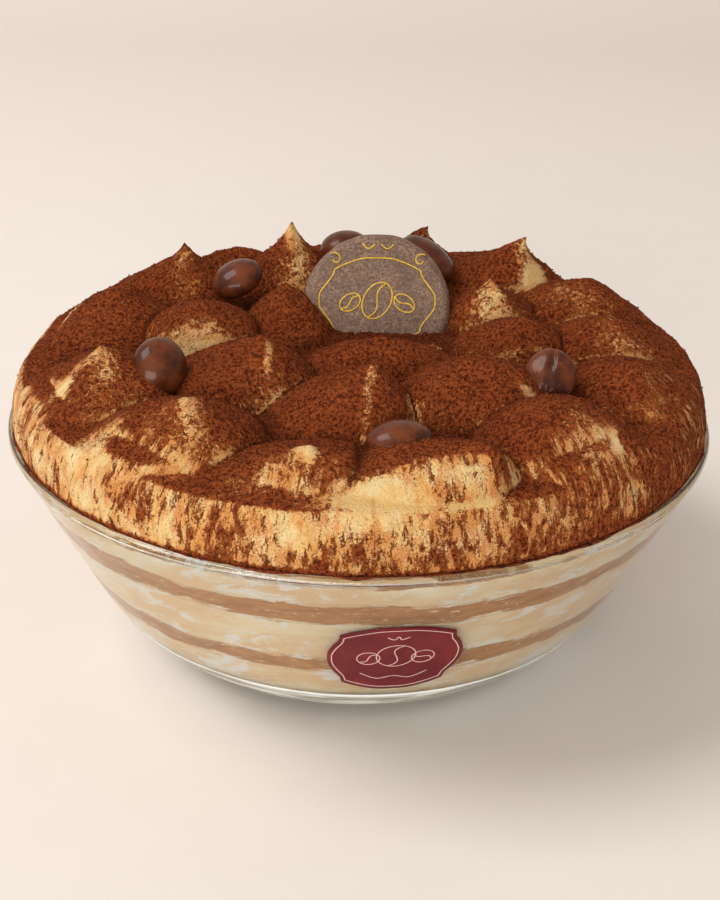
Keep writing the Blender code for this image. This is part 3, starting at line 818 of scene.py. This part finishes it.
def tuck_under_lip(points, faces, edge, angles):
    """Add rings that carry the cream from its lower edge down inside the lip, just clear of it."""
    rings = [lip_point(math.radians(90.0 + 90.0 * ring / LIP_RINGS), -LIP_AIR)
             for ring in range(LIP_RINGS + 1)]
    lowest = LIP_Z - SLAB_DROP - 1.0
    rings.append((glass_radius(lowest, WALL + LIP_AIR), lowest))
    previous = edge
    for radius, z in rings:
        start = len(points)
        level = np.full(len(angles), z)
        ring = np.stack([radius * np.cos(angles), radius * np.sin(angles), level], axis=1)
        points = np.concatenate([points, ring])
        current = list(range(start, start + len(angles)))
        faces += bridge(previous, current)
        previous = current
    return points, faces


def cocoa_cover(points, normals):
    """How much cocoa lies at each point: most on what faces up, little on steep faces."""
    x, y, z = points.T
    radius = np.hypot(x, y)
    up = normals[:, 2]
    side = smoothstep(0.90, 0.68, up) * smoothstep(73.0, 79.0, radius)
    right = smoothstep(5.0, 70.0, x)
    on_side = SIDE_COVER + SIDE_COVER_RIGHT * right + 0.05 * smoothstep(70.0, 64.0, z)
    on_side += 0.24 * fractal_noise(points * (1.0, 1.0, 0.6), 7.0, 3, 61)
    on_side += 0.12 * fractal_noise(points * (1.0, 1.0, 2.2), 12.0, 2, 67)
    on_top = TOP_COVER_STEEP + (1.15 - TOP_COVER_STEEP) * smoothstep(0.45, 0.80, up)
    on_top += 0.16 * fractal_noise(points, 6.0, 3, 71)
    missing = np.zeros(len(points))
    for patch_x, patch_y, half_x, half_y, turn, amount in PATCHES:
        cos, sin = math.cos(math.radians(turn)), math.sin(math.radians(turn))
        u = ((x - patch_x) * cos + (y - patch_y) * sin) / half_x
        v = ((y - patch_y) * cos - (x - patch_x) * sin) / half_y
        missing += amount * np.exp(-(u * u + v * v) ** 1.5)
    on_top -= missing
    on_side -= 0.22 * missing
    cover = on_top + (on_side - on_top) * side
    cover += smoothstep(BOWL_HEIGHT + 1.0, BOWL_HEIGHT + 0.3, z)
    return np.clip(cover, 0.0, 1.3), side


def make_heap(material):
    """The top cream above the rim, tucked in under the lip."""
    x, y, faces, edge, angles = heap_plan()
    top, lead = dollops_top(x, y)
    inside = smoothstep(79.0, 74.0, np.hypot(x, y))
    crease = np.exp(-(lead / CREASE_WIDTH) ** 2) * inside
    # Painted shade: a mask that darkens the cocoa in the creases where dollops meet and in the low ground
    # between them.
    painted_crease_shade = np.maximum(0.45 * smoothstep(2.6, 0.4, top) * inside, 0.7 * crease)
    x, y, z = heap_surface(x, y)
    points = np.stack([x, y, z - CREASE_DEPTH * crease], axis=1)
    points[:, 2] += 0.35 * fractal_noise(points, 7.0, 3, 5) * smoothstep(90.0, 76.0, np.hypot(x, y))
    points, faces = tuck_under_lip(points, faces, edge, angles)
    painted_crease_shade = np.concatenate([painted_crease_shade, np.zeros(len(points) - len(painted_crease_shade))])
    x, y = points[:, 0], points[:, 1]
    heap = add_mesh("cocoa_cream_heap", points, faces, material)
    normals = np.zeros(len(points) * 3)
    heap.data.vertices.foreach_get("normal", normals)
    normals = normals.reshape(-1, 3)
    if normals[:, 2].mean() < 0.0:
        heap.data.flip_normals()
        normals = -normals
    cover, side = cocoa_cover(points, normals)
    wrap = np.stack([np.arctan2(y, x) * 84.0, points[:, 2], np.zeros(len(x))], axis=1)
    streak = fractal_noise(wrap * (1.0, 0.18, 1.0), 2.4, 3, 19)
    clumps = fractal_noise(points, 1.3, 2, 29)
    above = smoothstep(BOWL_HEIGHT + 0.2, BOWL_HEIGHT + 2.5, points[:, 2])
    lift = above * (0.30 * streak * side + 0.28 * clumps * (1.0 - side) * np.clip(cover, 0.0, 1.0))
    points = points + normals * lift[:, None]
    heap.data.vertices.foreach_set("co", (points * MM).ravel())
    set_attribute(heap, "cocoa", cover)
    set_attribute(heap, "side", side)
    set_attribute(heap, "painted_crease_shade", painted_crease_shade)
    set_attribute(heap, "wrap", wrap * MM, "FLOAT_VECTOR")
    stand_for(heap, "cream_top")
    return points, normals, cover


# ---------------------------------------------------------------- beans

def bean_points(size, rings=40, segments=48):
    """A bean lying level: length along X, creased side down, round side up."""
    half = [0.5 * part for part in size]
    points = [(half[0], 0.0, 0.0)]
    for ring in range(1, rings):
        polar = math.pi * ring / rings
        for step in range(segments):
            angle = 2.0 * math.pi * step / segments
            x = half[0] * math.cos(polar)
            y = half[1] * math.sin(polar) * math.cos(angle)
            z = half[2] * math.sin(polar) * math.sin(angle)
            if z < 0.0:
                wander = 0.7 * math.sin(2.2 * math.cos(polar))
                crease = math.exp(-(((y - wander) / 0.42) ** 2))
                lip = math.exp(-(((abs(y - wander) - 1.3) / 0.8) ** 2))
                z = BEAN_FLATNESS * z + math.sin(polar) ** 0.5 * (1.1 * crease - 0.25 * lip)
            points.append((x, y, z))
    points.append((-half[0], 0.0, 0.0))
    last = len(points) - 1
    starts = [1 + segments * i for i in range(rings - 1)]
    faces = [(0, 1 + i, 1 + (i + 1) % segments) for i in range(segments)]
    for lower, upper in zip(starts, starts[1:]):
        faces += ring_quads(lower, upper, segments)
    faces += [(starts[-1] + i, last, starts[-1] + (i + 1) % segments) for i in range(segments)]
    return points, faces


def bean_placement(x, y, z, azimuth, rise, roll):
    """A bean's length points to the azimuth and rises; the roll turns it about its length."""
    turns = (Matrix.Rotation(math.radians(azimuth), 4, "Z")
             @ Matrix.Rotation(math.radians(-rise), 4, "Y")
             @ Matrix.Rotation(math.radians(roll), 4, "X"))
    return Matrix.Translation((x, y, z)) @ turns


def placed(points, placement):
    return [tuple(placement @ Vector(point)) for point in points]


def make_beans(material):
    for name, size, *where in BEANS:
        points, faces = bean_points(size)
        bean = add_mesh("chocolate_" + name, placed(points, bean_placement(*where)), faces, material)
        face_outwards(bean)
        stand_for(bean, name)


# ---------------------------------------------------------------- disc

def disc_placement():
    return Matrix.Translation(DISC_CENTRE) @ Matrix.Rotation(math.radians(DISC_RECLINE), 4, "X")


def make_disc(material):
    half = 0.5 * DISC_THICKNESS
    rounds = [0.5 * math.pi * i / 10 for i in range(11)]
    lower = [(DISC_RADIUS - DISC_EDGE * (1.0 - math.sin(a)), -half + DISC_EDGE * (1.0 - math.cos(a)))
             for a in rounds]
    upper = [(r, -z) for r, z in reversed(lower)]
    flats = [(DISC_RADIUS - DISC_EDGE) * i / 30 for i in range(1, 30)]
    profile = [(0.0, -half)] + [(r, -half) for r in flats] + lower + upper
    profile += [(r, half) for r in reversed(flats)] + [(0.0, half)]
    points, faces = turn_profile(profile, 144)
    points = np.array(points)
    pits = value_noise(points, 2.2, 91)
    points[:, 2] -= np.sign(points[:, 2]) * 0.35 * smoothstep(0.74, 0.9, pits)
    points[:, 2] += 0.08 * fractal_noise(points, 3.0, 2, 93)
    rim = np.hypot(points[:, 0], points[:, 1]) / DISC_RADIUS
    points[:, :2] *= (1.0 - 0.012 * smoothstep(0.7, 1.0, rim) * fractal_noise(points, 5.0, 2, 95))[:, None]
    disc = add_mesh("chocolate_disc_face", placed(points, disc_placement()), faces, material)
    face_outwards(disc)
    stand_for(disc, "chocolate_disc")


# ---------------------------------------------------------------- line ornaments

def tube_on_surface(lines, width, height, surface):
    """Raised half-round strips along lines of (u, v) points; surface(u, v, lift) gives a point."""
    points = []
    faces = []
    section = [(-0.5 * width, 0.0), (-0.3 * width, 0.75 * height), (0.0, height),
               (0.3 * width, 0.75 * height), (0.5 * width, 0.0)]
    for line in lines:
        closed = line[0] == line[-1]
        line = line[:-1] if closed else line
        count = len(line)
        start = len(points)
        for i, (u, v) in enumerate(line):
            before = line[i - 1] if (closed or i) else line[i]
            after = line[(i + 1) % count] if (closed or i < count - 1) else line[i]
            run_u, run_v = after[0] - before[0], after[1] - before[1]
            length = math.hypot(run_u, run_v) or 1.0
            across_u, across_v = -run_v / length, run_u / length
            for off, lift in section:
                points.append(surface(u + across_u * off, v + across_v * off, lift))
        size = len(section)
        for i in range(count if closed else count - 1):
            here, there = start + i * size, start + ((i + 1) % count) * size
            faces += [(here + k, here + k + 1, there + k + 1, there + k) for k in range(size - 1)]
            faces.append((here + size - 1, here, there, there + size - 1))
        if not closed:
            faces.append(tuple(start + k for k in range(size)))
            faces.append(tuple(start + (count - 1) * size + k for k in reversed(range(size))))
    return points, faces


def smooth_line(knots, steps=8, closed=False):
    """Points along a curve through the knots."""
    count = len(knots)
    line = []
    for i in range(count if closed else count - 1):
        near = range(i - 1, i + 3)
        p = [Vector(knots[k % count if closed else min(max(k, 0), count - 1)]) for k in near]
        for step in range(steps):
            t = step / steps
            a = 2.0 * p[1] + (p[2] - p[0]) * t
            b = (2.0 * p[0] - 5.0 * p[1] + 4.0 * p[2] - p[3]) * t * t
            c = (3.0 * p[1] - p[0] - 3.0 * p[2] + p[3]) * t ** 3
            line.append(tuple(0.5 * (a + b + c)))
    line.append(tuple(knots[0]) if closed else tuple(knots[-1]))
    return line


def plaque_outline(half_width, half_height, corner_u, corner_v, waist_u, waist_v):
    """Quarter by quarter: a bowed top, a corner, a hollow shoulder and a blunt pointed end."""
    top = smooth_line([(0.0, half_height), (0.35 * corner_u, 0.985 * half_height),
                       (0.72 * corner_u, 0.5 * (half_height + corner_v)), (corner_u, corner_v)], 6)
    side = smooth_line([(corner_u, corner_v), (corner_u + 0.25 * (waist_u - corner_u), 0.78 * corner_v),
                        (waist_u, waist_v), (0.985 * half_width, 0.45 * waist_v), (half_width, 0.0)], 6)
    quarter = top[:-1] + side[:-1]
    mirrored = [(u, -v) for u, v in reversed(quarter[1:])]
    right = quarter + [(half_width, 0.0)] + mirrored
    left = [(-u, -v) for u, v in right]
    return right + [(0.0, -half_height)] + left[1:] + [(0.0, half_height)]


def bean_motif(u, v, half_length, half_width, turn):
    """Outline of a coffee bean with its curved crease."""
    angle = math.radians(turn)

    def spot(a, b):
        return (u + a * math.cos(angle) - b * math.sin(angle), v + a * math.sin(angle) + b * math.cos(angle))

    steps = 28
    turns = [2 * math.pi * i / steps for i in range(steps)]
    rim = [spot(half_length * math.cos(a), half_width * math.sin(a)) for a in turns]
    crease = [spot(half_length * (t / 6.0), 0.28 * half_width * math.sin(math.pi * t / 6.0))
              for t in range(-6, 7)]
    return [rim + [rim[0]], crease]


def spiral(u, v, radius, start, turn, steps=22, shrink=0.75):
    """A small scroll: an arc that tightens towards its end."""
    line = []
    for i in range(steps + 1):
        t = i / steps
        reach = radius * (1.0 - shrink * t)
        angle = math.radians(start + turn * t)
        line.append((u + reach * math.cos(angle), v + reach * math.sin(angle)))
    return line


def disc_surface(u, v, lift):
    return tuple(disc_placement() @ Vector((u, v, 0.5 * DISC_THICKNESS + lift)))


def make_disc_ornament(material):
    outline = plaque_outline(15.4, 11.4, 11.4, 8.2, 13.6, 4.2)
    lines = [outline]
    for sign in (-1, 1):
        lines.append(spiral(sign * 11.4, 10.9, 1.9, 90 - sign * 40, sign * 300))
        lines.append(spiral(sign * 11.4, -10.9, 1.9, -90 + sign * 40, -sign * 300))
        lines.append([(sign * (0.8 + 3.4 * t / 8), 15.2 - 1.3 * math.sin(math.pi * t / 8)) for t in range(9)])
    lines += bean_motif(0.0, 0.0, 5.2, 3.6, 62)
    lines += bean_motif(-7.2, -0.6, 3.0, 2.1, 35)
    lines += bean_motif(7.2, -0.6, 3.0, 2.1, 145)
    lines = [[(u, v + DISC_ORNAMENT_RISE) for u, v in line] for line in lines]
    points, faces = tube_on_surface(lines, 0.42, 0.16, disc_surface)
    ornament = add_mesh("disc_gold_lines", points, faces, material)
    face_outwards(ornament)
    stand_for(ornament, None)


# ---------------------------------------------------------------- label

def label_surface(across, up, lift):
    """A point on the straight wall's outer face: across and up the label, lifted off it."""
    slope = wall_slope()
    z = LABEL_MIDDLE_Z + up * math.sin(slope)
    angle = math.radians(LABEL_TURN - 90.0) + across / glass_radius(LABEL_MIDDLE_Z)
    radius = glass_radius(z) + (lift + LABEL_LIFT) * math.sin(slope)
    return radius * math.cos(angle), radius * math.sin(angle), z - (lift + LABEL_LIFT) * math.cos(slope)


def make_label(red, pale):
    half_w, half_h = 0.5 * LABEL_WIDTH, 0.5 * LABEL_HEIGHT
    outline = plaque_outline(half_w, half_h, 0.80 * half_w, 0.76 * half_h, 0.91 * half_w, 0.42 * half_h)[:-1]
    points = []
    rings = 10
    for lift in (LABEL_THICKNESS, 0.0):
        for ring in range(1, rings + 1):
            points += [label_surface(u * ring / rings, v * ring / rings, lift) for u, v in outline]
        points.append(label_surface(0.0, 0.0, lift))
    count = len(outline)
    block = rings * count + 1
    faces = []
    for base in (0, block):
        for ring in range(rings - 1):
            faces += ring_quads(base + ring * count, base + (ring + 1) * count, count)
        faces += [(base + block - 1, base + (i + 1) % count, base + i) for i in range(count)]
    faces += ring_quads((rings - 1) * count, block + (rings - 1) * count, count)
    label = add_mesh("label_plaque", points, faces, red)
    face_outwards(label)
    stand_for(label, "label")

    def face(u, v, lift):
        return label_surface(u, v, LABEL_THICKNESS + lift)

    lines = [plaque_outline(half_w - 1.0, half_h - 1.2, 0.745 * half_w, 0.69 * half_h,
                            0.85 * half_w, 0.37 * half_h)]
    lines += bean_motif(0.0, 1.5, 4.6, 4.4, 70)
    lines += bean_motif(-6.2, 0.6, 2.6, 2.6, 35)
    lines += bean_motif(6.2, 0.6, 2.6, 2.6, 145)
    lines.append(smooth_line([(-8.0, -6.0), (-4.0, -8.4), (0.0, -7.4), (4.0, -8.4), (8.0, -6.0)], 8))
    lines.append(smooth_line([(-2.4, 9.6), (-0.8, 8.6), (0.0, 9.8), (0.8, 8.6), (2.4, 9.6)], 6))
    points, faces = tube_on_surface(lines, 0.28, 0.05, face)
    border = add_mesh("label_lines", points, faces, pale)
    face_outwards(border)
    stand_for(border, None)


# ---------------------------------------------------------------- loose cocoa

def make_grains(points, normals, cover, material):
    """Loose grains of cocoa, each an eight-sided crumb of its own size and turn."""
    count = GRAIN_COUNT
    rng = np.random.default_rng(7)
    weight = np.clip(cover, 0.05, 1.0) ** 2
    chosen = rng.choice(len(points), size=count, p=weight / weight.sum())
    size = 0.11 + 0.20 * rng.random(count) ** 3
    centre = points[chosen] + normals[chosen] * (size * 0.35)[:, None]
    centre += rng.normal(0.0, 0.25, (count, 3)) * (1.0 - np.abs(normals[chosen]))
    corners = np.array([(1, 0, 0), (0, 1, 0), (-1, 0, 0), (0, -1, 0), (0, 0, 1), (0, 0, -1)], dtype=float)
    shape = corners[None] * (0.7 + 0.6 * rng.random((count, 6, 1)))
    spin = rng.normal(size=(count, 3, 3))
    spin = np.linalg.qr(spin)[0]
    verts = centre[:, None, :] + np.einsum("nij,nkj->nki", spin, shape) * size[:, None, None]
    pattern = np.array([(0, 1, 4), (1, 2, 4), (2, 3, 4), (3, 0, 4),
                        (1, 0, 5), (2, 1, 5), (3, 2, 5), (0, 3, 5)])
    faces = (pattern[None] + 6 * np.arange(count)[:, None, None]).reshape(-1, 3)
    grains = add_mesh("cocoa_grains", verts.reshape(-1, 3), faces.tolist(), material, smooth=False)
    stand_for(grains, None)


def make_rim_dust(material):
    """Cocoa lying on the inner half of the lip, with a ragged outer edge."""
    count = 1440
    angles = 2.0 * math.pi * np.arange(count) / count
    ring = np.stack([np.cos(angles), np.sin(angles), np.zeros(count)], axis=1) * RIM_RADIUS
    ragged = fractal_noise(ring, 9.0, 5, 83)
    points = []
    rows = 5
    for row in range(rows + 1):
        lift = 0.10 * math.sin(math.pi * row / rows)
        for angle, wander in zip(angles, ragged):
            turn = math.radians(100.0 - (16.0 + 22.0 * max(0.0, wander + 0.35)) * row / rows)
            radius, z = lip_point(turn, -lift)
            points.append((radius * math.cos(angle), radius * math.sin(angle), z))
    faces = []
    for row in range(rows):
        faces += ring_quads(row * count, (row + 1) * count, count)
    faces += ring_quads(rows * count, 0, count)
    dust = add_mesh("rim_cocoa", points, faces, material)
    face_outwards(dust)
    stand_for(dust, None)


# ---------------------------------------------------------------- stage

def make_stage():
    s = Shader("studio_floor")
    place = s.place()
    depth_part = s.node("ShaderNodeSeparateXYZ")
    s.link(place, depth_part.inputs[0])
    cloth = s.noise(place, 30.0, detail=4.0)
    near = s.mix(s.ramp(cloth, 0.3, 0.7, 0.0, 0.15), srgb(240, 231, 223), srgb(232, 221, 212))
    # Painted shade: the floor and backdrop are coloured darker towards the back.
    back = s.ramp(depth_part.outputs["Y"], 0.1, 0.9)
    s.set(Base_Color=s.mix(back, near, srgb(228, 217, 208)), Roughness=0.85)
    s.set(Specular_IOR_Level=0.2)
    points = []
    depth = [(-900.0, 0.0), (700.0, 0.0)]
    depth += [(700.0 + 400.0 * math.sin(math.radians(a)), 400.0 - 400.0 * math.cos(math.radians(a)))
              for a in range(6, 91, 6)]
    depth.append((1100.0, 1600.0))
    for y, z in depth:
        points += [(-1600.0, y, z), (1600.0, y, z)]
    faces = [(2 * i, 2 * i + 1, 2 * i + 3, 2 * i + 2) for i in range(len(depth) - 1)]
    floor = add_mesh("studio_floor", points, faces, s.material)


def add_area(name, position, size, power, color, target=(0.0, 0.0, 60.0)):
    data = bpy.data.lights.new(name, "AREA")
    data.shape = "RECTANGLE"
    data.size, data.size_y = size[0] * MM, size[1] * MM
    data.energy = power
    data.color = color
    light = bpy.data.objects.new(name, data)
    light.location = Vector(position) * MM
    aim = (Vector(target) - Vector(position)).normalized()
    light.rotation_euler = aim.to_track_quat("-Z", "Y").to_euler()
    bpy.context.scene.collection.objects.link(light)


def make_lights():
    add_area("key", (-1150, -150, 1650), (1000, 1000), 22.5, (1.0, 0.985, 0.97))
    add_area("fill", (-600, -2200, 560), (1600, 900), 33.0, (1.0, 0.985, 0.97))
    world = bpy.data.worlds.new("studio")
    bpy.context.scene.world = world
    world.use_nodes = True
    background = world.node_tree.nodes["Background"]
    background.inputs["Color"].default_value = (1.0, 0.98, 0.96, 1.0)
    background.inputs["Strength"].default_value = 0.43


def make_camera():
    elevation = math.radians(CAMERA_ELEVATION)
    back = Vector((0.0, -math.cos(elevation), math.sin(elevation)))
    data = bpy.data.cameras.new("photo_view")
    data.sensor_fit = "HORIZONTAL"
    data.sensor_width = 36.0
    data.lens = CAMERA_LENS
    data.clip_start = 0.01
    camera = bpy.data.objects.new("photo_view", data)
    camera.location = (Vector(CAMERA_TARGET) + back * CAMERA_DISTANCE) * MM
    level = (-back).to_track_quat("-Z", "Y").to_matrix()
    roll = Matrix.Rotation(math.radians(CAMERA_ROLL), 3, "Z")
    camera.rotation_euler = (level @ roll).to_euler()
    bpy.context.scene.collection.objects.link(camera)
    bpy.context.scene.camera = camera


def main():
    make_bowl(glass_material())
    make_foot(foot_material())
    make_layers(layer_material())
    points, normals, cover = make_heap(cream_heap_material())
    powder = powder_material()
    make_grains(points, normals, cover, powder)
    make_rim_dust(powder)
    make_beans(bean_material())
    make_disc(disc_material())
    make_disc_ornament(icing_material())
    make_label(label_material(), print_material())
    make_stage()
    make_lights()
    make_camera()
    bpy.context.scene.view_settings.view_transform = "Standard"


main()
